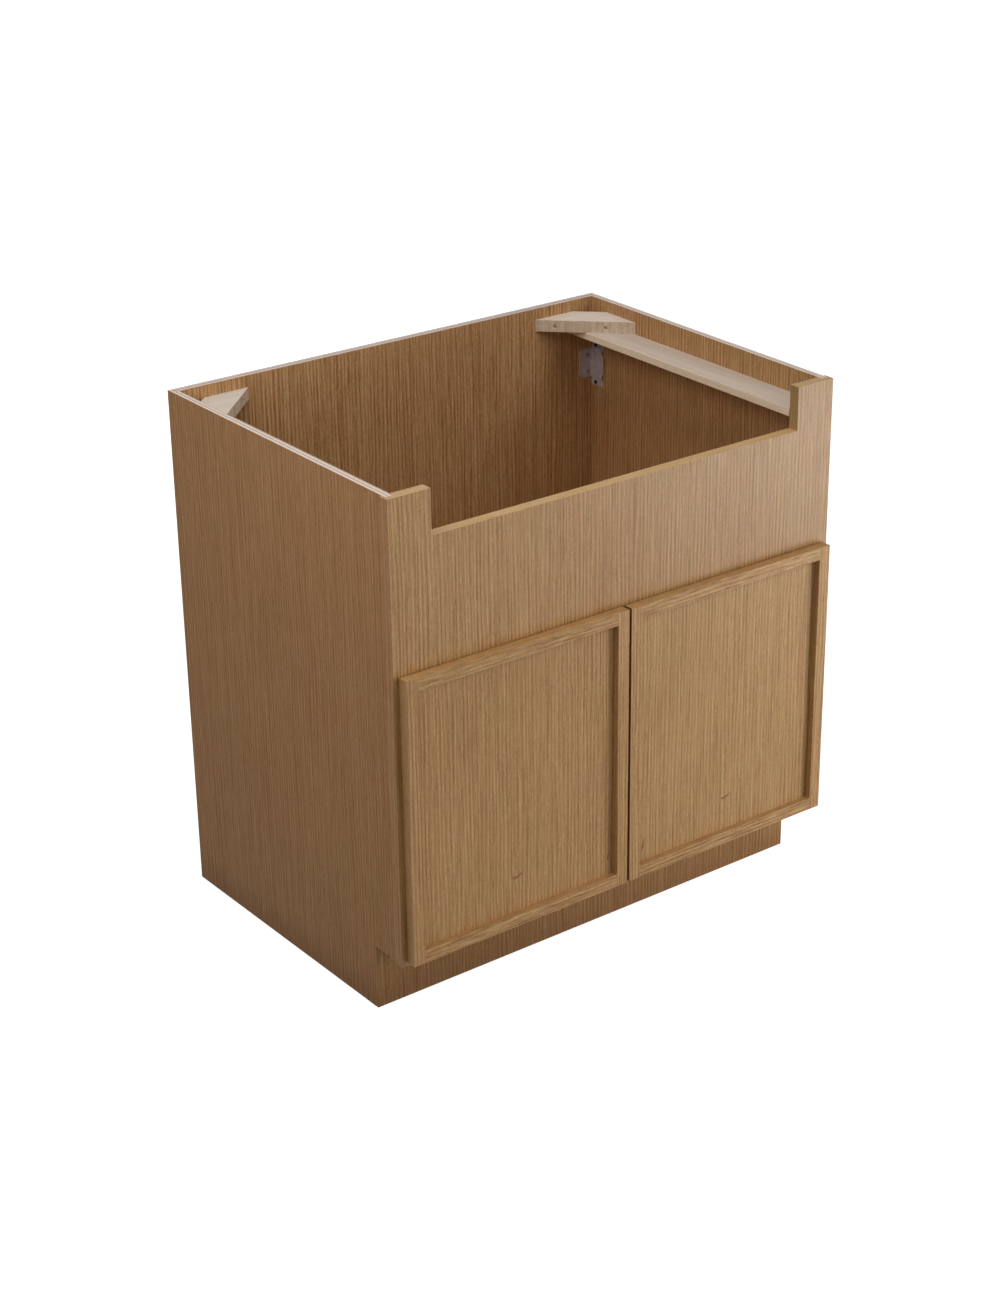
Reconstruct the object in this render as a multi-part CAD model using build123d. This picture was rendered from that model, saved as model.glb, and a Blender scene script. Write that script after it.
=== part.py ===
from build123d import *

import os

os.makedirs("parts", exist_ok=True)

# Sink base cabinet for an apron-front sink.
# Millimetres. +Z up, front towards -Y, +X to the right as seen from the front.
# Everything is laid out with the front of the face panel at y = 0, and is moved to the part's own
# origin, the middle of the footprint, when it is written out.

# Carcass
overall_height = 876.3
frame_depth = 609.6
face_width = 863.6
face_t = 19.05
face_lip = 3.2
side_t = 12.7
back_t = 15.9
deck_t = 12.7
dado_depth = 6.35
face_groove_depth = 9.5
back_groove_depth = 5.0

# Toe space
toe_height = 111.1
toe_setback = 76.2
toe_skin_t = 6.35
toe_board_t = 12.7

# Face panel
face_stile_w = 38.1
face_rail_h = 38.1
opening_top_below_rim = 311.3
ear_width = 75.0
notch_depth = 72.4
deck_below_opening = 6.3

# Doors
door_t = 17.5
door_gap_behind = 1.5
door_side_reveal = 9.4
door_gap_between = 4.4
door_top_below_rim = 278.2
door_bottom_above_toe = 6.0
door_frame_w = 21.3
door_recess = 10.0
tongue_t = 4.0
tongue_len = 5.0
tongue_from_back = 1.7
bumper_r = 5.0
bumper_air = 0.3
bumper_inset = 12.0

# Sink rails and corner blocks
sink_rail_w = 61.0
sink_rail_t = 12.7
block_below_rim = 19.6
block_t = 20.6
block_leg_on_back = 125.0
block_leg_on_side = 119.5
block_cut_on_back = 43.5
block_cut_on_side = 40.0
block_screw_from_back_tip = 34.0
block_screw_from_side_tip = 50.0
block_screw_len_to_back = 41.0
block_screw_len_to_side = 57.0
block_screw_r = 2.0
block_screw_head_r = 3.2
block_screw_head_t = 2.4
block_recess_r = 3.6
block_recess_depth = 6.0

# Corner brackets
bracket_t = 1.6
bracket_half_h = 26.2
bracket_back_w = 28.0
bracket_side_w = 32.8
bracket_side_w_middle = 37.0
bracket_middle_half_h = 16.0
bracket_middle_slope = 4.0
bracket_standoff = 2.0
bracket_clip_top = 3.5
bracket_clip_bottom = 7.0
bracket_joggle = 2.5
bracket_tab_start = 2.0
bracket_tab_w = 35.2
bracket_tab_end = 39.8
bracket_below_rim = 119.3
bracket_above_deck = 120.0
bracket_back_hole_in = 12.8
bracket_back_hole_z = 14.4
bracket_side_hole_in = 14.5
bracket_side_hole_z = 34.2

# Small pan-head screws for the brackets
pan_head_r = 3.4
pan_head_t = 1.8
pan_shank_r = 1.75
pan_len = 12.0

# Crossed slots in the screw heads
slot_len = 3.4
slot_w = 0.9
slot_depth = 1.0

# Shallow concealed hinges
hinge_from_door_end = 85.0
cup_r = 17.5
cup_wall = 0.9
cup_floor = 0.8
cup_depth = 6.3
cup_edge = 3.5
cup_flange_t = 0.8
cup_flange_margin = 5.0
cup_flange_out = 5.0
cup_screw_clear = 5.0
cup_screw_in = 9.5
cup_screw_head_r = 3.2
cup_screw_r = 1.6
cup_screw_len = 6.0
pin_r = 1.25
pin_play = 0.05
cup_pin_from_edge = 10.36
cup_pin_below_back = 2.8
cup_pin_end_clear = 0.04
link_half_h = 5.0
link_t = 2.0
link_cup_eye_r = 2.4
link_base_eye_r = 3.0
link_bend_out = 1.3
link_bend_out_y = 3.2
link_bend_in = 3.2
link_bend_in_y = 2.2
base_pin_r = 1.5
base_pin_in = 17.2
base_pin_y = 8.0
ear_play = 0.3
ear_t = 2.0
ear_eye_r = 3.2
ear_root_low = 4.2
ear_root_high = 14.0
base_plate_t = 2.0
base_plate_front = 2.0
base_plate_rear_margin = 1.55
base_plate_half_h = 24.0
base_screw_z = 17.0
base_screw_head_r = 3.2
base_screw_r = 1.75
base_screw_len = 15.0
screw_head_taper = 1.5

# Derived places
rim = overall_height
side_out = face_width / 2 - face_lip
side_in = side_out - side_t
back_in = frame_depth - back_t
opening_x = face_width / 2 - face_stile_w
opening_low = toe_height + face_rail_h
opening_high = rim - opening_top_below_rim
deck_top = opening_low - deck_below_opening
deck_low = deck_top - deck_t
toe_skin_back = toe_setback + toe_skin_t
notch_floor = rim - notch_depth
door_out = face_width / 2 - door_side_reveal
door_in = door_gap_between / 2
door_back = -door_gap_behind
door_front = door_back - door_t
door_low = toe_height + door_bottom_above_toe
door_high = rim - door_top_below_rim
panel_front = door_front + door_recess
tongue_back = door_back - tongue_from_back
tongue_front = tongue_back - tongue_t
block_high = rim - block_below_rim
block_low = block_high - block_t
sink_rail_low = block_low - sink_rail_t
hinge_heights = {"lower": door_low + hinge_from_door_end, "upper": door_high - hinge_from_door_end}
bracket_heights = {"lower": deck_top + bracket_above_deck, "upper": rim - bracket_below_rim}
cup_x = door_out - cup_edge - cup_r
cup_screw_z = cup_r + cup_screw_clear
cup_flange_half_h = cup_screw_z + cup_flange_margin
cup_flange_in = cup_screw_in + cup_flange_margin
base_plate_rear = face_t - base_plate_rear_margin
cup_pin_x = door_out - cup_pin_from_edge
cup_pin_y = door_back - cup_pin_below_back
cup_pin_half = (cup_r**2 - (cup_pin_x - cup_x + pin_r) ** 2) ** 0.5 - cup_pin_end_clear
base_pin_x = opening_x - base_pin_in
centre_y = (frame_depth + door_front) / 2


# Round solids start at the point they are given, and don't straddle it.
from_start = (Align.CENTER, Align.CENTER, Align.MIN)


def block(x0, x1, y0, y1, z0, z1):
    """A box between two corners."""
    size = Box(x1 - x0, y1 - y0, z1 - z0)
    return Pos((x0 + x1) / 2, (y0 + y1) / 2, (z0 + z1) / 2) * size


def upright(r, x, y, z0, z1):
    """A vertical cylinder."""
    return Pos(x, y, (z0 + z1) / 2) * Cylinder(r, z1 - z0)


def slab(points, z0, z1):
    """A plan outline raised from z0 to z1."""
    outline = make_face(Polyline(*points, close=True))
    return Pos(0, 0, z0) * extrude(outline, z1 - z0, dir=(0, 0, 1))


def rod(r, start, direction, length):
    """A cylinder from a start point along a direction."""
    return Plane(origin=start, z_dir=direction) * Cylinder(r, length, align=from_start)


def cone(r0, r1, start, direction, length):
    """A countersunk head: radius r0 at the start, r1 at its far end."""
    return Plane(origin=start, z_dir=direction) * Cone(r0, r1, length, align=from_start)


def crossed_slots(start, direction):
    """The driver slots of a screw, cut in from the outer face of its head."""
    slot = Box(slot_len, slot_w, slot_depth, align=from_start)
    return Plane(origin=start, z_dir=direction) * (slot + Rot(0, 0, 90) * slot)


def with_slots(screws, slots):
    """The finished screws. The plain ones are the tools that cut the holes for them."""
    return [screw - slot for screw, slot in zip(screws, slots)]


def flat_screw(start, direction, head_r, shank_r, length):
    """A countersunk screw whose head is flush at the start point."""
    head = cone(head_r, shank_r, start, direction, screw_head_taper)
    return head + rod(shank_r, start, direction, length)


def flipped(shape):
    """The same piece on the other side of the cabinet."""
    return mirror(shape, about=Plane.YZ)


def pair(shape):
    """A right-hand piece and its mirror image, by side name."""
    return {"right": shape, "left": flipped(shape)}


def write(name, *solids):
    """One STEP file for one node, in the part's own frame."""
    moved = [Pos(0, -centre_y, 0) * s for s in solids]
    shape = moved[0] if len(moved) == 1 else Compound(children=[Part() + m for m in moved])
    export_step(shape, f"parts/{name}.step")


# Screws that hold the corner blocks: square to the block's long face, into the back and the side.
diagonal_back = Vector(side_in - block_leg_on_back, back_in, (block_low + block_high) / 2)
diagonal_side = Vector(side_in, back_in - block_leg_on_side, (block_low + block_high) / 2)
along_diagonal = (diagonal_side - diagonal_back).normalized()
toward_corner = along_diagonal.rotate(Axis.Z, 90)
block_screw_places = [
    (diagonal_back + along_diagonal * block_screw_from_back_tip, block_screw_len_to_back),
    (diagonal_side - along_diagonal * block_screw_from_side_tip, block_screw_len_to_side),
]
block_screws = []
block_slots = []
block_recesses = []
for mouth, length in block_screw_places:
    seat = mouth + toward_corner * block_recess_depth
    head = rod(block_screw_head_r, seat, toward_corner, block_screw_head_t)
    block_screws.append(head + rod(block_screw_r, seat, toward_corner, length))
    block_slots.append(crossed_slots(seat, toward_corner))
    block_recesses.append(rod(block_recess_r, mouth, toward_corner, block_recess_depth))

corner_block = slab(
    [
        (diagonal_back.X, diagonal_back.Y),
        (diagonal_side.X, diagonal_side.Y),
        (side_in, back_in - block_cut_on_side),
        (side_in - block_cut_on_back, back_in),
    ],
    block_low,
    block_high,
)
for tool in block_screws + block_recesses:
    corner_block -= tool

# Corner brackets: a flat leg on the back, and a raised leg with a low tab at each end on the side.
back_leg_far = side_in - bracket_back_w
raised_out = side_in - bracket_standoff
raised_in = raised_out - bracket_t
slope_end = bracket_middle_half_h + bracket_middle_slope


def bracket_tab(z, end):
    """The step down to the side and the tab screwed to it, above (end 1) or below (end -1) the leg."""
    profile = [
        (raised_out, z + end * bracket_half_h),
        (side_in, z + end * (bracket_half_h + bracket_joggle)),
        (side_in, z + end * bracket_tab_end),
        (side_in - bracket_t, z + end * bracket_tab_end),
        (side_in - bracket_t, z + end * (bracket_half_h + bracket_joggle)),
        (raised_in, z + end * bracket_half_h),
    ]
    far = back_in - bracket_tab_w
    wire = Polyline(*[(x, far, h) for x, h in profile], close=True)
    return extrude(make_face(wire), bracket_tab_w - bracket_tab_start, dir=(0, 1, 0))


def bracket(z):
    """The right-hand corner bracket, centred at height z."""
    side_outline = [
        (back_in, z - bracket_half_h),
        (back_in - bracket_side_w, z - bracket_half_h),
        (back_in - bracket_side_w, z - slope_end),
        (back_in - bracket_side_w_middle, z - bracket_middle_half_h),
        (back_in - bracket_side_w_middle, z + bracket_middle_half_h),
        (back_in - bracket_side_w, z + slope_end),
        (back_in - bracket_side_w, z + bracket_half_h),
        (back_in, z + bracket_half_h),
    ]
    wire = Polyline(*[(raised_in, y, h) for y, h in side_outline], close=True)
    leg = extrude(make_face(wire), bracket_t, dir=(1, 0, 0))
    back_outline = [
        (raised_out, z - bracket_half_h),
        (back_leg_far + bracket_clip_bottom, z - bracket_half_h),
        (back_leg_far, z - bracket_half_h + bracket_clip_bottom),
        (back_leg_far, z + bracket_half_h - bracket_clip_top),
        (back_leg_far + bracket_clip_top, z + bracket_half_h),
        (raised_out, z + bracket_half_h),
    ]
    wire = Polyline(*[(x, back_in - bracket_t, h) for x, h in back_outline], close=True)
    leg += extrude(make_face(wire), bracket_t, dir=(0, 1, 0))
    return leg + bracket_tab(z, 1) + bracket_tab(z, -1)


def bracket_screw_places(z):
    """Seats and directions of two screws into the back and two into the side."""
    back = [(side_in - bracket_back_hole_in, back_in - bracket_t, z + dz)
            for dz in (-bracket_back_hole_z, bracket_back_hole_z)]
    side = [(side_in - bracket_t, back_in - bracket_side_hole_in, z + dz)
            for dz in (-bracket_side_hole_z, bracket_side_hole_z)]
    return [(seat, (0, 1, 0)) for seat in back] + [(seat, (1, 0, 0)) for seat in side]


def pan_screw(seat, direction):
    """A pan-head screw: the head stands on the seat, the shank goes on past it."""
    back = tuple(-d for d in direction)
    return rod(pan_head_r, seat, back, pan_head_t) + rod(pan_shank_r, seat, direction, pan_len)


brackets = {}
all_bracket_screws = []
bracket_slots = []
for level, height in bracket_heights.items():
    plate = bracket(height)
    for seat, direction in bracket_screw_places(height):
        screw = pan_screw(seat, direction)
        plate -= screw
        all_bracket_screws.append(screw)
        outer_face = Vector(*seat) - Vector(*direction) * pan_head_t
        bracket_slots.append(crossed_slots(outer_face, direction))
    brackets[level] = plate

# Hinge parts for the right-hand door, at each height.
base_screws = []
base_slots = []
base_pins = []
bases = {}
cups = {}
links = {}
cup_pins = []
cup_screws = []
cup_slots = []
cup_bores = []
cup_pin_place = (cup_pin_x, cup_pin_y)
base_pin_place = (base_pin_x, base_pin_y)
link_bend_a = (opening_x + link_bend_out, -link_bend_out_y)
link_bend_b = (opening_x - link_bend_in, -link_bend_in_y)


def strip(p, q, width, z0, z1):
    """A straight plate between two plan points."""
    along = Vector(q[0] - p[0], q[1] - p[1])
    side = along.normalized().rotate(Axis.Z, 90) * (width / 2)
    corners = [
        (p[0] + side.X, p[1] + side.Y),
        (q[0] + side.X, q[1] + side.Y),
        (q[0] - side.X, q[1] - side.Y),
        (p[0] - side.X, p[1] - side.Y),
    ]
    return slab(corners, z0, z1)


def link(z):
    """The bent arm between the pin in the cup and the pin in the base."""
    low = z - link_half_h
    high = z + link_half_h
    arm = upright(link_cup_eye_r, *cup_pin_place, low, high)
    arm += upright(link_base_eye_r, *base_pin_place, low, high)
    for bend in (link_bend_a, link_bend_b):
        arm += upright(link_t / 2, *bend, low, high)
    arm += strip(cup_pin_place, link_bend_a, link_t, low, high)
    arm += strip(link_bend_a, link_bend_b, link_t, low, high)
    arm += strip(link_bend_b, base_pin_place, link_t, low, high)
    arm -= upright(pin_r + pin_play, *cup_pin_place, low, high)
    arm -= upright(base_pin_r + pin_play, *base_pin_place, low, high)
    return arm


def base(z):
    """The plate on the edge of the door opening, with two ears that carry the pin."""
    plate = block(
        opening_x - base_plate_t,
        opening_x,
        base_plate_front,
        base_plate_rear,
        z - base_plate_half_h,
        z + base_plate_half_h,
    )
    ear_low = link_half_h + ear_play
    ear_high = ear_low + ear_t
    for z0, z1 in ((z + ear_low, z + ear_high), (z - ear_high, z - ear_low)):
        root = [
            (opening_x - base_plate_t, ear_root_low),
            (opening_x - base_plate_t, ear_root_high),
            (base_pin_x, base_pin_y + ear_eye_r),
            (base_pin_x, base_pin_y - ear_eye_r),
        ]
        plate += slab(root, z0, z1) + upright(ear_eye_r, base_pin_x, base_pin_y, z0, z1)
    return plate


def cup(z):
    """The shallow cup in the back of the door, with its screw flange."""
    body = rod(cup_r, (cup_x, door_back, z), (0, -1, 0), cup_depth)
    body += rod(cup_r, (cup_x, door_back, z), (0, 1, 0), cup_flange_t)
    body += block(
        cup_x - cup_flange_in,
        cup_x + cup_flange_out,
        door_back,
        door_back + cup_flange_t,
        z - cup_flange_half_h,
        z + cup_flange_half_h,
    )
    hollow = (cup_x, door_back - cup_depth + cup_floor, z)
    return body - rod(cup_r - cup_wall, hollow, (0, 1, 0), cup_depth + cup_flange_t)


for level, height in hinge_heights.items():
    ear_top = link_half_h + ear_play + ear_t
    base_pin = upright(base_pin_r, base_pin_x, base_pin_y, height - ear_top, height + ear_top)
    screws = []
    for dz in (-base_screw_z, base_screw_z):
        seat = (opening_x - base_plate_t, (base_plate_front + base_plate_rear) / 2, height + dz)
        screws.append(flat_screw(seat, (1, 0, 0), base_screw_head_r, base_screw_r, base_screw_len))
        base_slots.append(crossed_slots(seat, (1, 0, 0)))
    plate = base(height) - base_pin
    for screw in screws:
        plate -= screw
    bases[level] = plate
    base_pins.append(base_pin)
    base_screws += screws

    cup_pin = upright(pin_r, cup_pin_x, cup_pin_y, height - cup_pin_half, height + cup_pin_half)
    screws = []
    for dz in (-cup_screw_z, cup_screw_z):
        seat = (cup_x - cup_screw_in, door_back + cup_flange_t, height + dz)
        screws.append(flat_screw(seat, (0, -1, 0), cup_screw_head_r, cup_screw_r, cup_screw_len))
        cup_slots.append(crossed_slots(seat, (0, -1, 0)))
    shell = cup(height) - cup_pin
    for screw in screws:
        shell -= screw
    cups[level] = shell
    cup_pins.append(cup_pin)
    cup_screws += screws
    cup_bores.append(rod(cup_r, (cup_x, door_back, height), (0, -1, 0), cup_depth))
    links[level] = link(height)

# Doors: grooved stiles, rails with stub tenons, and a flat panel with a tongue all round.
rail_x0 = door_in + door_frame_w
rail_x1 = door_out - door_frame_w
rail_z0 = door_low + door_frame_w
rail_z1 = door_high - door_frame_w


def stile(x0, x1, groove_x0, groove_x1):
    """An upright of the door frame with a groove along its inner edge."""
    body = block(x0, x1, door_front, door_back, door_low, door_high)
    return body - block(groove_x0, groove_x1, tongue_front, tongue_back, door_low, door_high)


def rail(z0, z1, groove_z0, groove_z1):
    """A cross piece of the door frame with stub tenons and a groove along its inner edge."""
    body = block(rail_x0, rail_x1, door_front, door_back, z0, z1)
    body += block(rail_x0 - tongue_len, rail_x1 + tongue_len, tongue_front, tongue_back, z0, z1)
    return body - block(
        rail_x0 - tongue_len, rail_x1 + tongue_len, tongue_front, tongue_back, groove_z0, groove_z1
    )


door = {
    "stile_free": stile(door_in, rail_x0, rail_x0 - tongue_len, rail_x0),
    "stile_hinge": stile(rail_x1, door_out, rail_x1, rail_x1 + tongue_len),
    "rail_bottom": rail(door_low, rail_z0, rail_z0 - tongue_len, rail_z0),
    "rail_top": rail(rail_z1, door_high, rail_z1, rail_z1 + tongue_len),
    "panel": block(rail_x0, rail_x1, panel_front, door_back, rail_z0, rail_z1)
    + block(
        rail_x0 - tongue_len,
        rail_x1 + tongue_len,
        tongue_front,
        tongue_back,
        rail_z0 - tongue_len,
        rail_z1 + tongue_len,
    ),
}
for piece in ("stile_hinge", "panel"):
    for tool in cup_bores + cup_screws:
        door[piece] -= tool

bumper_len = door_gap_behind - bumper_air
bumper_heights = (
    door_low + (opening_low - door_low) / 2,
    opening_high + (door_high - opening_high) / 2,
)
bumpers = [
    rod(bumper_r, (door_in + bumper_inset, door_back, z), (0, 1, 0), bumper_len) for z in bumper_heights
]

# Carcass panels
side_panel = block(side_in, side_out, face_t - face_groove_depth, frame_depth, 0, rim)
side_panel -= block(side_in, side_out, 0, toe_skin_back, 0, toe_height)
side_panel -= block(side_in, side_in + dado_depth, back_in, frame_depth, 0, rim)
side_panel -= block(side_in, side_in + dado_depth, 0, back_in, deck_low, deck_top)
side_panel -= block(
    side_in, side_in + dado_depth, toe_skin_back, toe_skin_back + toe_board_t, 0, deck_low
)
for tool in block_screws + all_bracket_screws:
    side_panel -= tool

inner_half = side_in + dado_depth
back_panel = block(-inner_half, inner_half, back_in, frame_depth, 0, rim)
back_panel -= block(-inner_half, inner_half, back_in, back_in + back_groove_depth, deck_low, deck_top)
for tool in block_screws + all_bracket_screws:
    back_panel -= tool
    back_panel -= flipped(tool)

deck = block(
    -inner_half,
    inner_half,
    face_t - face_groove_depth,
    back_in + back_groove_depth,
    deck_low,
    deck_top,
)
toe_board = block(-inner_half, inner_half, toe_skin_back, toe_skin_back + toe_board_t, 0, deck_low)
toe_skin = block(-side_out, side_out, toe_setback, toe_skin_back, 0, toe_height)

face_half = face_width / 2
notch_half = face_half - ear_width
face_panel = block(-face_half, face_half, 0, face_t, toe_height, rim)
face_panel -= block(-notch_half, notch_half, 0, face_t, notch_floor, rim)
face_panel -= block(-opening_x, opening_x, 0, face_t, opening_low, opening_high)
side_groove = block(side_in, side_out, face_t - face_groove_depth, face_t, toe_height, rim)
face_panel -= side_groove
face_panel -= flipped(side_groove)
face_panel -= block(-inner_half, inner_half, face_t - face_groove_depth, face_t, deck_low, deck_top)
for tool in base_screws:
    face_panel -= tool
    face_panel -= flipped(tool)

sink_rail = block(side_in - sink_rail_w, side_in, face_t, back_in, sink_rail_low, block_low)

# Written out, one file for each node
write("face_panel", face_panel)
write("back_panel", back_panel)
write("bottom_panel", deck)
write("toe_kick_board", toe_board)
write("toe_kick_skin", toe_skin)
for name, made in (
    ("corner_block_screws", with_slots(block_screws, block_slots)),
    ("corner_bracket_screws", with_slots(all_bracket_screws, bracket_slots)),
    ("hinge_base_screws", with_slots(base_screws, base_slots)),
    ("hinge_base_pins", base_pins),
):
    write(name, *made, *[flipped(piece) for piece in made])
for side, shape in pair(side_panel).items():
    write(f"side_panel_{side}", shape)
for side, shape in pair(sink_rail).items():
    write(f"sink_rail_{side}", shape)
for side, shape in pair(corner_block).items():
    write(f"corner_block_{side}", shape)
for level, shape in brackets.items():
    for side, turned in pair(shape).items():
        write(f"corner_bracket_{side}_{level}", turned)
for kind, made in (("base", bases), ("link", links), ("cup", cups)):
    for level, shape in made.items():
        for side, turned in pair(shape).items():
            write(f"hinge_{kind}_{side}_{level}", turned)
for piece, shape in door.items():
    for side, turned in pair(shape).items():
        write(f"door_{side}_{piece}", turned)
write("door_right_bumpers", *bumpers)
write("door_left_bumpers", *[flipped(s) for s in bumpers])
write("hinge_cup_pins_right", *cup_pins)
write("hinge_cup_pins_left", *[flipped(s) for s in cup_pins])
finished_cup_screws = with_slots(cup_screws, cup_slots)
write("hinge_cup_screws_right", *finished_cup_screws)
write("hinge_cup_screws_left", *[flipped(s) for s in finished_cup_screws])
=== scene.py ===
import math

import bpy
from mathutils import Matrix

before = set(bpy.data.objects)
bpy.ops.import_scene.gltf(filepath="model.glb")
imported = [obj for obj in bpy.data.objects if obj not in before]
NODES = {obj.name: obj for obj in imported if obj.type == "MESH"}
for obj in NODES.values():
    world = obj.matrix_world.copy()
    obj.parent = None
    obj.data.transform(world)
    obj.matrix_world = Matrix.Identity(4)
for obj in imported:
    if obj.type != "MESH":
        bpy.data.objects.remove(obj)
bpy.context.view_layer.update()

MM = 0.001


# ---------------------------------------------------------------- colours
def srgb(red, green, blue):
    """A colour as a screen shows it, 0 to 255, turned into the linear values that shaders take."""
    def one(value):
        value /= 255
        return value / 12.92 if value <= 0.04045 else ((value + 0.055) / 1.055) ** 2.4
    return (one(red), one(green), one(blue), 1.0)


# ---------------------------------------------------------------- shader nodes
class Shader:
    """One material's node tree, with a short call for each kind of node it uses."""

    def __init__(self, name):
        self.material = bpy.data.materials.new(name)
        self.material.use_nodes = True
        self.tree = self.material.node_tree
        self.tree.nodes.clear()
        coordinates = self.add("ShaderNodeTexCoord")
        self.place = coordinates.outputs["Object"]
        self.facing = coordinates.outputs["Normal"]

    def add(self, kind, **settings):
        node = self.tree.nodes.new(kind)
        for key, value in settings.items():
            setattr(node, key, value)
        return node

    def put(self, socket, value):
        if isinstance(value, bpy.types.NodeSocket):
            self.tree.links.new(value, socket)
        else:
            socket.default_value = value

    def math(self, operation, a, b=0.0):
        node = self.add("ShaderNodeMath", operation=operation)
        self.put(node.inputs[0], a)
        self.put(node.inputs[1], b)
        return node.outputs[0]

    def chain(self, operation, first, *others):
        """The same operation over several values, from left to right."""
        for other in others:
            first = self.math(operation, first, other)
        return first

    def sum(self, *values):
        return self.chain("ADD", *values)

    def product(self, *values):
        return self.chain("MULTIPLY", *values)

    def centred(self, value, weight):
        """A value from 0 to 1 turned into one around 0, times a weight."""
        return self.math("MULTIPLY", self.math("SUBTRACT", value, 0.5), weight)

    def size(self, value):
        return self.math("ABSOLUTE", value)

    def vector(self, operation, a, b):
        node = self.add("ShaderNodeVectorMath", operation=operation)
        self.put(node.inputs[0], a)
        self.put(node.inputs["Scale" if operation == "SCALE" else 1], b)
        return node.outputs["Vector"]

    def length(self, vector):
        node = self.add("ShaderNodeVectorMath", operation="LENGTH")
        self.put(node.inputs[0], vector)
        return node.outputs["Value"]

    def split(self, vector):
        node = self.add("ShaderNodeSeparateXYZ")
        self.put(node.inputs[0], vector)
        return node.outputs

    def noise_node(self, vector, per_metre, detail):
        node = self.add("ShaderNodeTexNoise")
        self.put(node.inputs["Vector"], self.vector("MULTIPLY", vector, per_metre))
        node.inputs["Scale"].default_value = 1.0
        node.inputs["Detail"].default_value = detail
        return node

    def noise(self, vector, per_metre, detail=2.0, rough=0.5):
        """Noise with that many features to the metre along x, y and z. Its value is about 0.5."""
        node = self.noise_node(vector, per_metre, detail)
        node.inputs["Roughness"].default_value = rough
        return node.outputs["Fac"]

    def drift(self, vector, per_metre):
        """A vector that wanders around zero, with that many turns to the metre along x, y and z."""
        colour = self.noise_node(vector, per_metre, 2.0).outputs["Color"]
        return self.vector("SUBTRACT", colour, (0.5, 0.5, 0.5))

    def step(self, value, low, high, to_low=0.0, to_high=1.0):
        """A smooth change from to_low, where the value is low, to to_high, where it is high."""
        node = self.add("ShaderNodeMapRange", interpolation_type="SMOOTHSTEP")
        self.put(node.inputs["Value"], value)
        node.inputs["From Min"].default_value = low
        node.inputs["From Max"].default_value = high
        node.inputs["To Min"].default_value = to_low
        node.inputs["To Max"].default_value = to_high
        return node.outputs["Result"]

    def ramp(self, value, stops):
        node = self.add("ShaderNodeValToRGB")
        self.put(node.inputs["Fac"], value)
        points = node.color_ramp.elements
        while len(points) < len(stops):
            points.new(0.5)
        for point, (at, colour) in zip(points, stops):
            point.position = at
            point.color = colour
        return node.outputs["Color"]

    def mix(self, amount, a, b, blend="MIX"):
        node = self.add("ShaderNodeMix", data_type="RGBA", blend_type=blend)
        self.put(node.inputs[0], amount)
        self.put(node.inputs[6], a)
        self.put(node.inputs[7], b)
        return node.outputs[2]

    def toned(self, amount, colour, tone):
        """A colour multiplied by a tone of red, green and blue, where the amount is 1."""
        return self.mix(amount, colour, (*tone, 1.0), "MULTIPLY")

    def edges(self, radius):
        """1 along the piece's edges, 0 away from them, where a rounded normal is the plain one."""
        rounded = self.add("ShaderNodeBevel", samples=4)
        rounded.inputs["Radius"].default_value = radius
        plain = self.add("ShaderNodeNewGeometry").outputs["Normal"]
        node = self.add("ShaderNodeVectorMath", operation="DOT_PRODUCT")
        self.put(node.inputs[0], rounded.outputs[0])
        self.put(node.inputs[1], plain)
        return self.step(node.outputs["Value"], 0.98, 0.75)

    def bump(self, height, distance, strength=1.0):
        node = self.add("ShaderNodeBump")
        self.put(node.inputs["Height"], height)
        node.inputs["Distance"].default_value = distance
        node.inputs["Strength"].default_value = strength
        return node.outputs["Normal"]

    def finish(self, colour, roughness, normal, metallic=0.0, **uniform):
        """The material, with the values that are the same all over set on the shader itself."""
        shader = self.add("ShaderNodeBsdfPrincipled")
        self.put(shader.inputs["Base Color"], colour)
        self.put(shader.inputs["Roughness"], roughness)
        self.put(shader.inputs["Normal"], normal)
        shader.inputs["Metallic"].default_value = metallic
        for key, value in uniform.items():
            shader.inputs[key.replace("_", " ")].default_value = value
        self.close(shader.outputs[0])
        return self.material

    def close(self, surface):
        output = self.add("ShaderNodeOutputMaterial")
        self.tree.links.new(surface, output.inputs["Surface"])


def away_from(s, axis, limit=0.6):
    """1 where the surface doesn't face along that axis."""
    part = s.split(s.facing)["XYZ".index(axis.upper())]
    return s.step(s.size(part), limit + 0.05, limit - 0.05)


# ---------------------------------------------------------------- sizes taken over from the CAD
SIDE_INNER_X, SIDE_T = 415.9 * MM, 12.7 * MM
BACK_INNER_Y, BACK_T = 298.4 * MM, 15.9 * MM
DECK_BOTTOM_Z, DECK_T = 130.2 * MM, 12.7 * MM
FACE_HALF_WIDTH = 431.8 * MM


# ---------------------------------------------------------------- wood: looks
# Each tint is red, green and blue, and multiplies the oak's own colours.
INSIDE_TINT = (1.1, 1.12, 1.14)
BACK_TINT = (1.087, 1.076, 1.156)
RIGHT_TINT = (0.999, 0.968, 1.03)
SIDE_TINT = (1.121, 1.034, 1.083)
FACE_TINT = (1.095, 1.088, 1.04)
# The toe kick's tint is darker than the others: painted shade for its recess under the doors.
TOE_TINT = (0.93, 0.87, 0.87)
# The right door's tint is lighter and whiter than the left door's: painted sheen.
DOOR_TINT = {"left": (1.168, 1.152, 1.151), "right": (1.182, 1.211, 1.215)}
SIDE_CONTRAST = 0.76
SIDE_OFFSET = (3.1, 0.4, 1.7)

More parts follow.
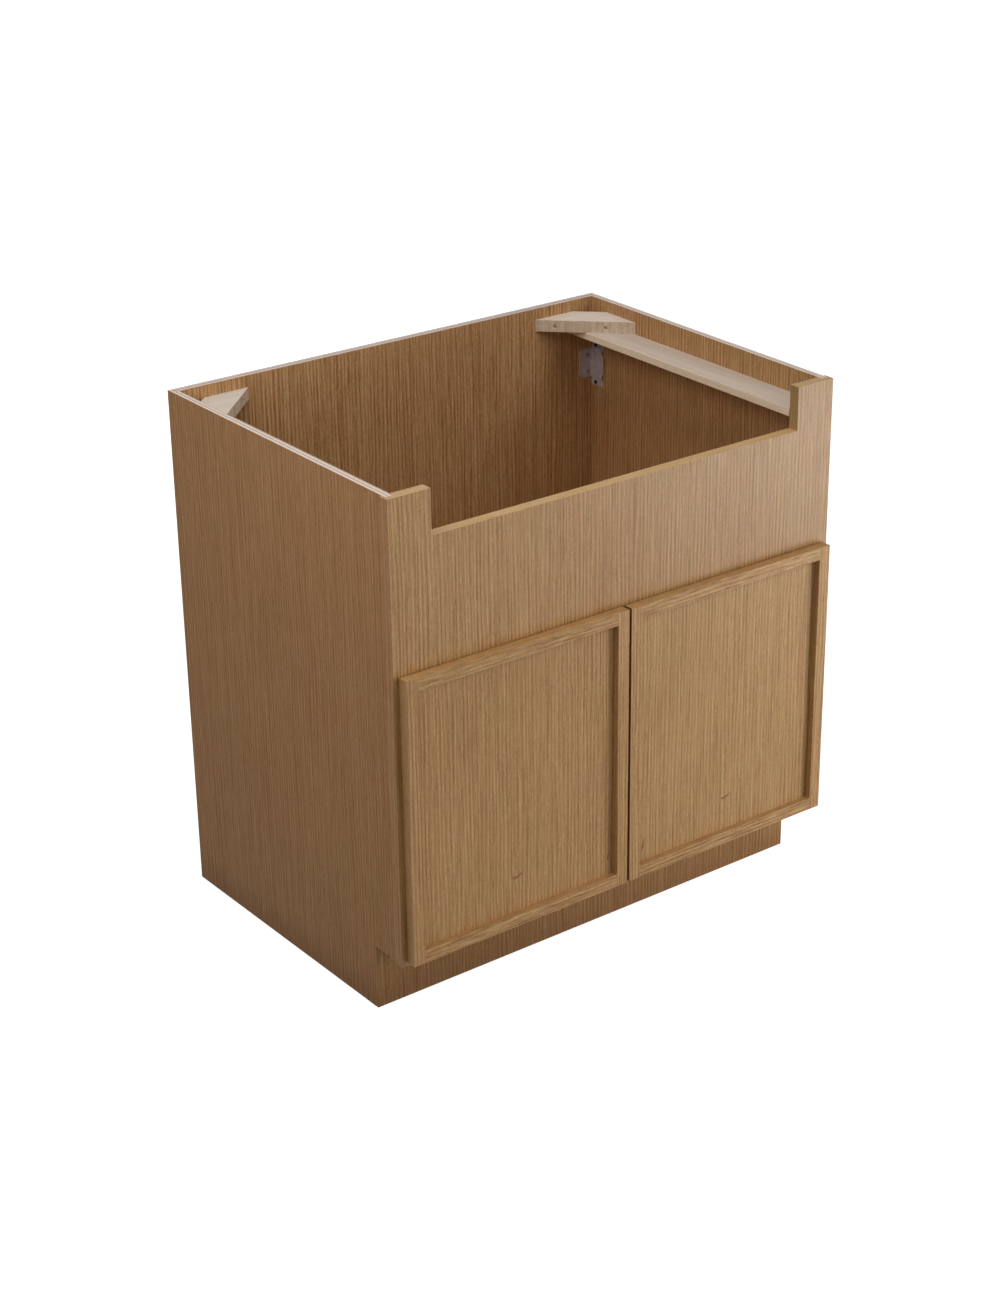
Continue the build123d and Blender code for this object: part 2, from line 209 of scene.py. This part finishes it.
# The oak's colours from its darkest pores to its lightest lines, and where they are on the ramp.
OAK = (srgb(120, 76, 33), srgb(147, 106, 62), srgb(171, 132, 86), srgb(196, 160, 113))
OAK_STOPS = (0.05, 0.36, 0.60, 0.95)
OAK_WORN = srgb(200, 166, 122)
ROSE, STRAW = (1.02, 0.99, 1.01, 1.0), (0.985, 1.005, 0.985, 1.0)
MIDDLE_TONE = 0.56
RINGS_PER_METRE = 138.0
RING_WEIGHT, RINGS_LOST_TO_FLAME = 0.135, 0.05
# How far the grain waves aside, in metres: everywhere, more with flame, and more near a flaw.
CALM_WAVE, FLAME_WAVE, FLAW_WAVE = 0.0008, 0.003, 0.004

# The layers of the oak's figure: features to the metre across and along the grain, octaves of
# detail, roughness of the noise, and the layer's weight in the tone.
FIGURE = {
    "lines": (440, 5, 2.0, 0.6, 0.9),
    "fibres": (560, 34, 3.0, 0.65, 0.7),
    "bands": (60, 1.0, 2.0, 0.5, 0.10),
    "short": (430, 190, 1.0, 0.5, 0.34),
    "cloud": (7, 4, 2.0, 0.5, 0.13),
}

# Small flaws in the veneer: x and z in metres, and the kind of dark tick, if there is one.
FACE_MARKS = ((0.082, 0.744, ""), (-0.305, 0.690, ""), (0.290, 0.640, ""), (-0.421, 0.798, ""),
              (-0.423, 0.702, ""))
DOOR_MARKS = {
    "left": ((-0.2176, 0.1986, "curl"), (-0.0342, 0.1715, "fleck"), (-0.120, 0.430, "")),
    "right": ((0.2157, 0.1973, "curl"), (0.0388, 0.1645, "fleck"), (0.330, 0.455, "")),
}
TICK_SIZE = {"curl": (0.0095, 0.0058), "fleck": (0.0026, 0.016)}
SWIRL_SIZE = (0.011, 0.030)

# For a grain along each axis, which axes lie across it and which one along it.
ACROSS = {"x": (0, 1, 1), "y": (1, 0, 1), "z": (1, 1, 0)}
ALONG = {"x": (1, 0, 0), "y": (0, 1, 0), "z": (0, 0, 1)}


def stretched(grain, across, along):
    """Features to the metre for each axis, for a grain that runs along one of them."""
    return tuple(across * a + along * b for a, b in zip(ACROSS[grain], ALONG[grain]))


# ---------------------------------------------------------------- wood: figure
def oak_figure(s, grain, place, contrast, tint, marks=(), flame=0.0):
    """(colour, height) of rift-cut oak veneer: growth lines, fibres, soft bands and open pores.

    flame, from 0 to 1, adds the wavier streaks of flat-cut wood.
    """
    dark, brown, tan, light = [tuple(c * t for c, t in zip(colour, (*tint, 1))) for colour in OAK]
    waving, ticks = flaws(s, marks, CALM_WAVE + FLAME_WAVE * flame)
    bend = s.vector("MULTIPLY", s.drift(place, stretched(grain, 12, 3)), (0.006, 0.006, 0.006))
    wave = s.vector("SCALE", s.drift(place, stretched(grain, 120, 30)), waving)
    bent = s.vector("ADD", s.vector("ADD", place, bend), wave)

    layers, parts = {}, []
    for name, (across, along, detail, rough, weight) in FIGURE.items():
        where = place if name == "cloud" else bent
        layers[name] = s.noise(where, stretched(grain, across, along), detail, rough)
        parts.append(s.centred(layers[name], weight * contrast))
    ring_weight = (RING_WEIGHT - RINGS_LOST_TO_FLAME * flame) * contrast
    parts.append(s.math("MULTIPLY", growth_rings(s, grain, bent), ring_weight))
    if flame:
        streaks = s.noise(bent, stretched(grain, 250, 26), 2.0, 0.55)
        parts.append(s.centred(streaks, flame * contrast))

    colour = s.ramp(s.sum(*parts, MIDDLE_TONE), list(zip(OAK_STOPS, (dark, brown, tan, light))))
    hue = s.noise(place, stretched(grain, 30, 7), 2.0, 0.5)
    colour = s.mix(1.0, colour, s.ramp(hue, [(0.38, ROSE), (0.62, STRAW)]), "MULTIPLY")
    pores = s.step(s.noise(bent, stretched(grain, 800, 48), 1.0, 0.5), 0.60, 0.72)
    colour = s.mix(s.math("MULTIPLY", pores, 0.3 * min(contrast, 1.0)), colour, dark)
    if ticks is not None:
        colour = s.mix(ticks, colour, dark)
    height = s.sum(s.product(layers["lines"], 0.5), s.product(layers["fibres"], 0.5))
    return colour, s.math("SUBTRACT", height, pores)


def growth_rings(s, grain, bent):
    """Lines along the grain, nearly even and about 7 mm apart, that wander and fade in places."""
    x, y, z = s.split(bent)
    across = {"x": (y, z), "y": (x, z), "z": (x, y)}[grain]
    drift = s.noise(bent, stretched(grain, 22, 2.0), 2.0, 0.5)
    turns = s.sum(s.product(s.sum(*across), RINGS_PER_METRE), s.product(drift, 3.0))
    swing = s.math("SINE", s.product(turns, 2 * math.pi))
    fading = s.noise(bent, stretched(grain, 70, 7), 2.0, 0.6)
    return s.product(swing, s.step(fading, 0.35, 0.6, 0.55, 1.05))


def flaws(s, marks, waving):
    """(how far the grain waves, dark ticks on the outer face) with small flaws in the veneer."""
    if not marks:
        return waving, None
    ticks = None
    x, _, z = s.split(s.place)
    outside = s.step(s.split(s.facing)[1], -0.4, -0.6)
    rough = s.noise(s.place, (420, 420, 420), 2.0, 0.6)

    def measured(at_x, at_z, wide, high):
        return (s.math("DIVIDE", s.math("SUBTRACT", x, at_x), wide),
                s.math("DIVIDE", s.math("SUBTRACT", z, at_z), high))
    for at_x, at_z, tick in marks:
        across, along = measured(at_x, at_z, *SWIRL_SIZE)
        far = s.math("SQRT", s.sum(s.math("POWER", across, 2.0), s.math("POWER", along, 2.0)))
        waving = s.sum(waving, s.product(s.step(far, 1.4, 0.1), FLAW_WAVE))
        if tick:
            side, line = measured(at_x, at_z, *TICK_SIZE[tick])
            curve = s.product(side, s.sum(side, 0.8), 0.45)
            bow = s.sum(s.math("SUBTRACT", line, curve), s.centred(rough, 0.7))
            mark = s.product(s.step(s.size(bow), 0.5, 0.15), s.step(s.size(side), 1.15, 0.75))
            mark = s.product(mark, outside, 0.9)
            ticks = mark if ticks is None else s.math("MAXIMUM", ticks, mark)
    return waving, ticks


def oak(name, grain, offset, contrast=1.0, tint=(1, 1, 1), edge=None, rough=0.46, shine=0.25,
        marks=(), flame=0.0, across=(1.0, 1.0)):
    """Lacquered oak veneer.

    edge, if given, makes (mask, colour, added roughness) for cut or banded edges. across is
    painted light and shade: the tone at the left and at the right end of the cabinet.
    """
    s = Shader(name)
    place = s.vector("ADD", s.place, offset)
    colour, height = oak_figure(s, grain, place, contrast, tint, marks, flame)
    at_x, _, above_floor = s.split(s.place)
    # Painted light and shade: the colour is scaled from the left end of the cabinet to the right.
    colour = s.vector("SCALE", colour, s.step(at_x, -430 * MM, 430 * MM, *across))
    worn = s.product(s.edges(1.2 * MM), s.step(above_floor, 3 * MM, 14 * MM))
    patchy = s.noise(s.place, (38, 38, 38), 3.0, 0.6)
    worn = s.product(worn, s.step(patchy, 0.42, 0.68, 0.12, 0.5))
    colour = s.mix(worn, colour, OAK_WORN)
    gloss = s.sum(s.product(height, 0.3), patchy)
    roughness = s.step(gloss, 0.1, 1.1, rough + 0.07, rough - 0.05)
    if edge:
        mask, edge_colour, edge_rough = edge(s)
        colour = s.mix(mask, colour, edge_colour)
        height = s.product(height, s.math("SUBTRACT", 1.0, mask))
        roughness = s.sum(roughness, s.product(mask, edge_rough))
    # Painted shade: the colour darkens over the lowest 70 mm, next to the floor.
    painted_floor_shade = s.step(above_floor, 70 * MM, 0.0, 0.0, 0.9)
    colour = s.toned(painted_floor_shade, colour, (0.72, 0.68, 0.66))
    return s.finish(colour, roughness, s.bump(height, 0.06 * MM, 0.7), Specular_IOR_Level=shine)


# ---------------------------------------------------------------- wood: edges
def band_colour(s, place):
    """Oak edge banding: thin, smooth and yellower than the faces, with painted shade on top of the
    ears.
    """
    speck = s.noise(place, (160, 160, 160), 2.0, 0.6)
    long_lines = s.noise(place, (14, 420, 14), 2.0, 0.5)
    value = s.sum(s.product(speck, 0.35), s.product(long_lines, 0.65))
    colour = s.ramp(value, [(0.25, srgb(137, 102, 59)), (0.5, srgb(156, 123, 76)),
                            (0.8, srgb(169, 136, 89))])
    _, _, z = s.split(place)
    # Painted shade: the banding is toned darker above 860 mm, on top of the ears.
    return s.toned(s.step(z, 860 * MM, 870 * MM), colour, (0.89, 0.9, 0.94))


def side_veneer(s):
    """The left side panel's veneer, for the ends of the face panel and the toe kick."""
    own = s.vector("ADD", s.place, SIDE_OFFSET)
    return oak_figure(s, "z", own, SIDE_CONTRAST, SIDE_TINT)[0]


def face_edge(s):
    """Banded edges of the face panel. Its outer ends show the sides' veneer, toned darker: painted
    shade.
    """
    x, _, _ = s.split(s.place)
    outer = s.step(s.size(x), FACE_HALF_WIDTH - 0.6 * MM, FACE_HALF_WIDTH - 0.3 * MM)
    # Painted shade: the ends are toned darker to cancel the brighter reflection of the face panel's
    # finish.
    end = s.toned(1.0, side_veneer(s), (0.92, 0.9, 0.88))
    colour = s.mix(outer, band_colour(s, s.place), end)
    return away_from(s, "y"), colour, s.sum(0.25, s.product(outer, 0.05))


def toe_edge(s):
    """The ends of the toe kick, cut flush with the sides and finished like them."""
    return away_from(s, "y"), side_veneer(s), 0.12


def door_edge(s):
    """The doors' own edges: the same oak under a thicker finish.

    They carry painted shade: darker on the outer sides of the pair and darkest where the two
    doors meet, where the gap between them is in shade.
    """
    x, _, _ = s.split(s.place)
    gap_shade = s.step(s.size(x), 3.2 * MM, 2.8 * MM)
    outer = s.step(s.size(x), 426 * MM, 427 * MM)
    amount = s.sum(0.6, s.product(gap_shade, 0.4))
    tone = s.noise(s.place, (60, 60, 60), 2.0, 0.6)
    colour = s.ramp(tone, [(0.3, srgb(160, 119, 74)), (0.7, srgb(184, 143, 93))])
    # Painted shade on the outer sides of the pair.
    colour = s.toned(outer, colour, (0.8, 0.76, 0.74))
    # Painted shade in the gap where the two doors meet.
    colour = s.mix(gap_shade, colour, srgb(122, 82, 46))
    return s.product(away_from(s, "y"), amount), colour, 0.04


def ply_layers(s, depth, thickness, level=1.0):
    """The cut edge of veneered plywood: pale outer plies, a greyer core, and the thin oak faces."""
    at = s.math("DIVIDE", depth, thickness)
    wobble = s.noise(s.place, (9, 9, 9), 2.0, 0.5)
    at = s.sum(at, s.centred(wobble, 0.05))
    oak_face, pale, core = srgb(134, 102, 73), srgb(195, 180, 170), srgb(150, 135, 127)
    layers = s.ramp(at, [(0.0, oak_face), (0.05, oak_face), (0.09, pale), (0.37, pale),
                         (0.43, core), (0.57, core), (0.63, pale), (0.91, pale),
                         (0.95, oak_face), (1.0, oak_face)])
    speck = s.noise(s.place, (900, 900, 240), 3.0, 0.7)
    streak = s.noise(s.place, (60, 60, 60), 3.0, 0.6)
    value = s.sum(s.product(speck, 0.5), s.product(streak, 0.5))
    shade = s.ramp(value, [(0.3, (0.80, 0.78, 0.75, 1)), (0.5, (0.97, 0.96, 0.95, 1)),
                           (0.75, (1.04, 1.04, 1.03, 1))])
    # level tones the whole edge down where it is below 1: painted shade.
    return s.mix(1.0, s.toned(1.0, layers, (level, level, level)), shade, "MULTIPLY")


def side_edge(s):
    x, _, _ = s.split(s.place)
    depth = s.math("SUBTRACT", s.size(x), SIDE_INNER_X)
    return away_from(s, "x"), ply_layers(s, depth, SIDE_T), 0.25


def back_edge(s):
    _, y, _ = s.split(s.place)
    depth = s.math("SUBTRACT", y, BACK_INNER_Y)
    # The back panel's edge is toned darker than the sides' edges: painted shade.
    return away_from(s, "y"), ply_layers(s, depth, BACK_T, 0.86), 0.25


def deck_edge(s):
    _, _, z = s.split(s.place)
    depth = s.math("SUBTRACT", z, DECK_BOTTOM_Z)
    return away_from(s, "z"), ply_layers(s, depth, DECK_T), 0.25


# ---------------------------------------------------------------- wood: bare rails and blocks
def pale_wood(name, grain, offset, flat, upright, sawn=0.0):
    """Bare pale hardwood with faint long grain and small flecks.

    flat and upright are painted light and shade: tones that make its flat and its upright faces
    darker or lighter than the lamps leave them. sawn, from 0 to 1, is how much its upright faces
    show the strokes of the saw.
    """
    s = Shader(name)
    place = s.vector("ADD", s.place, offset)
    bend = s.vector("MULTIPLY", s.drift(place, stretched(grain, 12, 4)), (0.02, 0.02, 0.02))
    bent = s.vector("ADD", place, bend)
    lines = s.noise(bent, stretched(grain, 190, 4), 4.0, 0.6)
    fibres = s.noise(bent, stretched(grain, 900, 30), 2.0, 0.6)
    bands = s.noise(bent, stretched(grain, 26, 1.2), 2.0, 0.5)
    total = s.sum(s.product(lines, 0.45), s.product(fibres, 0.2), s.product(bands, 0.35))
    colour = s.ramp(total, [(0.28, srgb(174, 154, 132)), (0.5, srgb(192, 175, 157)),
                            (0.72, srgb(204, 190, 174))])
    flecks = s.step(s.noise(bent, stretched(grain, 520, 60), 1.0, 0.5), 0.64, 0.76)
    colour = s.mix(s.product(flecks, 0.35), colour, srgb(150, 122, 94))
    on_upright = away_from(s, "z")
    if sawn:
        strokes = s.step(s.noise(s.place, (130, 130, 9), 3.0, 0.6), 0.36, 0.64)
        colour = s.mix(s.product(strokes, on_upright, sawn), colour, srgb(150, 124, 96))
    # Painted light and shade: flat faces take the flat tone and upright faces the upright tone.
    colour = s.mix(1.0, colour, s.mix(on_upright, (*flat, 1.0), (*upright, 1.0)), "MULTIPLY")
    colour = s.mix(s.product(s.edges(1.0 * MM), 0.3), colour, srgb(226, 214, 198))
    roughness = s.step(total, 0.3, 0.7, 0.72, 0.58)
    return s.finish(colour, roughness, s.bump(total, 0.25 * MM, 0.6), Specular_IOR_Level=0.4)


# ---------------------------------------------------------------- metal and rubber
def metal(name, base, dark, rough, cloud_size, scratch, metallic=1.0):
    """Plated steel: a cloudy plating, hairline scratches and brighter rubbed edges."""
    s = Shader(name)
    cloud = s.noise(s.place, (cloud_size,) * 3, 3.0, 0.6)
    hair = s.noise(s.place, (scratch * 9, scratch, scratch * 0.6), 2.0, 0.6)
    colour = s.mix(s.step(cloud, 0.35, 0.65), dark, base)
    colour = s.mix(s.product(s.edges(0.5 * MM), 0.5), colour, srgb(232, 230, 228))
    value = s.sum(s.product(cloud, 0.6), s.product(hair, 0.4))
    roughness = s.step(value, 0.3, 0.7, rough + 0.1, rough - 0.08)
    return s.finish(colour, roughness, s.bump(value, 0.03 * MM, 0.5), metallic=metallic)


def bracket_screw_metal(name):
    """Zinc screws through the back leg of each bracket, black ones through the tabs on the side."""
    s = Shader(name)
    x, _, _ = s.split(s.place)
    at_side = s.step(s.size(x), 405.0 * MM, 405.5 * MM)
    cloud = s.noise(s.place, (240, 240, 240), 3.0, 0.6)
    cloudy = s.step(cloud, 0.35, 0.65)
    zinc = s.mix(cloudy, srgb(142, 134, 130), srgb(164, 156, 152))
    black = s.mix(cloudy, srgb(34, 30, 28), srgb(48, 42, 38))
    colour = s.mix(at_side, zinc, black)
    colour = s.mix(s.product(s.edges(0.4 * MM), 0.35), colour, srgb(190, 186, 182))
    roughness = s.step(cloud, 0.3, 0.7, 0.52, 0.38)
    return s.finish(colour, roughness, s.bump(cloud, 0.03 * MM, 0.5), metallic=0.4)


def rubber(name):
    """Clear soft plastic with a little dust in it."""
    s = Shader(name)
    dust = s.noise(s.place, (1500, 1500, 1500), 3.0, 0.6)
    colour = s.ramp(dust, [(0.3, srgb(196, 198, 198)), (0.7, srgb(226, 228, 228))])
    roughness = s.step(dust, 0.3, 0.7, 0.28, 0.42)
    bump = s.bump(dust, 0.02 * MM, 0.4)
    return s.finish(colour, roughness, bump, Transmission_Weight=0.6, IOR=1.45)


# ---------------------------------------------------------------- materials on the CAD nodes
def set_material(name, material):
    for slot in NODES[name].material_slots:
        slot.material = material


# across darkens the face panel towards its right end: painted shade.
set_material("face_panel", oak("oak_face", "z", (0.0, 0.0, 0.0), 1.0, FACE_TINT, face_edge, 0.36,
                               0.4, FACE_MARKS, across=(1.045, 0.885)))
set_material("side_panel_left", oak("oak_side_left", "z", SIDE_OFFSET, SIDE_CONTRAST, SIDE_TINT,
                                    side_edge, 0.58, 0.12))
set_material("side_panel_right", oak("oak_side_right", "z", (5.3, 2.2, 0.9), 1.0, RIGHT_TINT,
                                     side_edge, shine=0.2))
set_material("back_panel", oak("oak_back", "z", (1.9, 4.7, 2.3), 1.12, BACK_TINT, back_edge,
                               shine=0.2))
set_material("bottom_panel", oak("oak_deck", "x", (2.7, 1.3, 3.1), 1.0, INSIDE_TINT, deck_edge))
# across lightens the toe kick towards its right end: painted light.
set_material("toe_kick_skin", oak("oak_toe", "z", (4.1, 0.6, 5.2), 0.9, TOE_TINT, toe_edge,
                                  shine=0.15, across=(1.0, 1.26)))

for number, side in enumerate(("left", "right")):
    shift = 0.7 + 1.9 * number
    kinds = (("panel", "z", 0.92 - 0.08 * number), ("stile_hinge", "z", 0.93),
             ("stile_free", "z", 0.93), ("rail_top", "x", 1.05), ("rail_bottom", "x", 1.05))
    for place, (part, grain, contrast) in enumerate(kinds):
        name = f"door_{side}_{part}"
        offset = (shift + 0.37 * place, 0.21 * place, shift * 0.6 + 0.83 * place)
        if part == "panel":
            look = {"marks": DOOR_MARKS[side]}
        else:
            look = {"edge": door_edge, "flame": 0.8 if grain == "x" else 0.0}
        made = oak("oak_" + name, grain, offset, contrast, DOOR_TINT[side], shine=0.32, **look)
        set_material(name, made)

# Painted shade on the rails' tops and painted light on their sides; the corner blocks get their own
# painted tones, darker on the left block.
RAIL_FLAT_SHADE, RAIL_UPRIGHT_LIGHT = (0.72, 0.70, 0.70), (1.33, 1.26, 1.14)
for name, grain, offset, flat, upright, sawn in (
    ("sink_rail_left", "y", (0.3, 0.1, 0.9), RAIL_FLAT_SHADE, RAIL_UPRIGHT_LIGHT, 0.0),
    ("sink_rail_right", "y", (1.3, 2.1, 0.2), RAIL_FLAT_SHADE, RAIL_UPRIGHT_LIGHT, 0.0),
    ("corner_block_left", "x", (2.6, 0.8, 0.5), (0.81, 0.85, 0.90), (0.90, 0.86, 0.80), 0.45),
    ("corner_block_right", "x", (0.9, 3.3, 1.4), (0.93, 0.94, 0.99), (1.07, 1.02, 0.96), 0.45),
    ("toe_kick_board", "x", (1.1, 0.7, 2.9), RAIL_FLAT_SHADE, RAIL_UPRIGHT_LIGHT, 0.0),
):
    set_material(name, pale_wood("pale_" + name, grain, offset, flat, upright, sawn))

BRACKET = metal("bracket_plating", srgb(188, 176, 176), srgb(170, 157, 159), 0.5, 90, 70, 0.25)
ZINC = metal("screw_zinc", srgb(200, 198, 190), srgb(170, 168, 160), 0.34, 240, 300)
BRACKET_SCREWS = bracket_screw_metal("bracket_screw_metal")
YELLOW_ZINC = metal("screw_yellow_zinc", srgb(228, 184, 150), srgb(204, 160, 126), 0.34, 240, 300)
NICKEL = metal("hinge_nickel", srgb(206, 203, 198), srgb(184, 180, 174), 0.26, 120, 160)
RUBBER = rubber("bumper_rubber")

for name in NODES:
    if name == "corner_bracket_screws":
        set_material(name, BRACKET_SCREWS)
    elif name == "corner_block_screws":
        set_material(name, YELLOW_ZINC)
    elif "screws" in name:
        set_material(name, ZINC)
    elif name.startswith("corner_bracket"):
        set_material(name, BRACKET)
    elif name.startswith("hinge"):
        set_material(name, NICKEL)
    elif name.endswith("bumpers"):
        set_material(name, RUBBER)


# ---------------------------------------------------------------- softened edges
SAME_VERTEX = 0.005 * MM
FLAT_ANGLE, SHARP_ANGLE = math.radians(0.5), math.radians(35)


def soften(name, width):
    """Rounds the sharp edges a little. The faces stay where they are, so the size does too."""
    piece = NODES[name]
    weld = piece.modifiers.new("weld", "WELD")
    weld.merge_threshold = SAME_VERTEX
    whole = piece.modifiers.new("whole_faces", "DECIMATE")
    whole.decimate_type = "DISSOLVE"
    whole.angle_limit = FLAT_ANGLE
    bevel = piece.modifiers.new("bevel", "BEVEL")
    bevel.width = width
    bevel.segments = 2
    bevel.limit_method = "ANGLE"
    bevel.angle_limit = SHARP_ANGLE
    bevel.use_clamp_overlap = True
    bevel.harden_normals = True


# How wide the round is, by the start of the node's name.
SOFT_EDGES = (
    (("face_", "side_", "back_", "bottom_", "toe_kick_skin"), 0.5 * MM),
    (("door_",), 0.3 * MM),
    (("sink_rail", "corner_block", "toe_kick_board"), 0.8 * MM),
    (("corner_bracket", "hinge_base_left", "hinge_base_right", "hinge_link"), 0.25 * MM),
)
for name in NODES:
    if not name.endswith(("screws", "bumpers")):
        width = next((wide for starts, wide in SOFT_EDGES if name.startswith(starts)), None)
        if width:
            soften(name, width)


# ---------------------------------------------------------------- floor and world
FLOOR_HALF = 12.0
FLOOR_BOUNCE = 0.17
FLOOR_SHADE = 0.35
GLOW_NEAR, GLOW_FAR = 0.92, 0.96
WORLD_STRENGTH = 0.15


def grey(level):
    return (level, level, level, 1.0)


def seen_directly(add, link):
    """1 for rays from the camera and those off metal or through glass, 0 for those that light."""
    rays = add("ShaderNodeLightPath")
    seen = rays.outputs["Is Camera Ray"]
    for kind in ("Is Glossy Ray", "Is Transmission Ray"):
        either = add("ShaderNodeMath")
        either.operation = "MAXIMUM"
        link(seen, either.inputs[0])
        link(rays.outputs[kind], either.inputs[1])
        seen = either.outputs[0]
    return seen


def choose_by_ray(add, link, for_light, for_eye):
    choose = add("ShaderNodeMixShader")
    link(seen_directly(add, link), choose.inputs[0])
    link(for_light, choose.inputs[1])
    link(for_eye, choose.inputs[2])
    return choose.outputs[0]


def make_floor():
    """A floor that looks white with a faint shadow, and lights the object a little from below."""
    mesh = bpy.data.meshes.new("floor")
    corners = [(x * FLOOR_HALF, y * FLOOR_HALF, 0) for x, y in ((-1, -1), (1, -1), (1, 1), (-1, 1))]
    mesh.from_pydata(corners, [], [(0, 1, 2, 3)])
    floor = bpy.data.objects.new("floor", mesh)
    bpy.context.scene.collection.objects.link(floor)
    s = Shader("floor_white")
    matte = s.add("ShaderNodeBsdfDiffuse")
    matte.inputs["Color"].default_value = grey(FLOOR_BOUNCE)
    faint = s.add("ShaderNodeBsdfDiffuse")
    faint.inputs["Color"].default_value = grey(FLOOR_SHADE)
    glow = s.add("ShaderNodeEmission")
    glow.inputs["Color"].default_value = grey(1.0)
    s.put(glow.inputs["Strength"], s.step(s.length(s.place), 1.2, 4.0, GLOW_NEAR, GLOW_FAR))
    white = s.add("ShaderNodeAddShader")
    s.tree.links.new(faint.outputs[0], white.inputs[0])
    s.tree.links.new(glow.outputs[0], white.inputs[1])
    s.close(choose_by_ray(s.add, s.tree.links.new, matte.outputs[0], white.outputs[0]))
    mesh.materials.append(s.material)


def make_world(strength):
    """White where it is seen, and a weak even light everywhere else."""
    world = bpy.data.worlds.new("studio")
    bpy.context.scene.world = world
    world.use_nodes = True
    add, link = world.node_tree.nodes.new, world.node_tree.links.new
    world.node_tree.nodes.clear()

    def background(power):
        node = add("ShaderNodeBackground")
        node.inputs["Color"].default_value = grey(1.0)
        node.inputs["Strength"].default_value = power
        return node.outputs[0]
    output = add("ShaderNodeOutputWorld")
    link(choose_by_ray(add, link, background(strength), background(1.0)), output.inputs["Surface"])


make_floor()
make_world(WORLD_STRENGTH)


# ---------------------------------------------------------------- lamps
def softbox(name, place, target, width, height, watts, diffuse=True, glossy=True):
    """An area lamp that looks at the target. diffuse and glossy say which light it gives."""
    data = bpy.data.lights.new(name, "AREA")
    data.shape = "RECTANGLE"
    data.size = width
    data.size_y = height
    data.energy = watts
    lamp = bpy.data.objects.new(name, data)
    bpy.context.scene.collection.objects.link(lamp)
    lamp.location = place
    lamp.visible_camera = False
    lamp.visible_diffuse = diffuse
    lamp.visible_glossy = glossy
    away = [a - b for a, b in zip(place, target)]
    flat = math.hypot(away[0], away[1])
    lamp.rotation_euler = (math.atan2(flat, away[2]), 0.0, math.atan2(away[0], -away[1]))


softbox("front_right_low", (2.7, -1.75, 0.6), (0.1, -0.3, 0.6), 1.5, 0.9, 29)
softbox("front_right_high", (1.4, -2.4, 2.6), (0.1, -0.2, 0.6), 1.4, 1.4, 20)
softbox("overhead", (0.0, 0.0, 2.6), (0.0, 0.0, 0.6), 1.0, 1.0, 23.5)
softbox("left_near", (-1.1, -0.3, 1.9), (-0.45, 0.0, 0.7), 0.8, 0.8, 7.4)
softbox("left_rear", (-2.0, 0.6, 2.4), (-0.42, 0.0, 0.75), 1.2, 1.2, 5.9)
softbox("left_front", (-2.6, -2.0, 1.4), (-0.3, -0.1, 0.5), 1.6, 1.6, 10.6)
softbox("back", (1.2, 3.0, 0.9), (0.0, 0.2, 0.4), 1.6, 1.2, 30)
softbox("front_fill", (2.3, -2.5, 0.5), (0.1, -0.3, 0.4), 1.5, 0.9, 24, glossy=False)
softbox("low_right", (1.6, -1.2, 0.12), (0.4, -0.25, 0.08), 0.5, 0.2, 1.1, glossy=False)
softbox("sheen_card", (1.5, -1.5, 0.2), (0.3, -0.3, 0.7), 0.8, 0.4, 5.2, diffuse=False)


# ---------------------------------------------------------------- camera
def make_camera():
    """The camera fitted to the cabinet's edges in the photograph."""
    data = bpy.data.cameras.new("camera")
    data.sensor_width = 36.0
    data.lens = 70.49
    data.shift_x = -0.05798
    data.shift_y = 0.02186
    data.clip_start, data.clip_end = 0.05, 60.0
    camera = bpy.data.objects.new("camera", data)
    bpy.context.scene.collection.objects.link(camera)
    camera.location = (-2.30605, -3.07091, 2.16265)
    looking_down, turned_right = 0.437801, 0.672885
    camera.rotation_euler = (math.pi / 2 - looking_down, 0.0, -turned_right)
    bpy.context.scene.camera = camera


make_camera()
bpy.context.scene.view_settings.view_transform = "Standard"
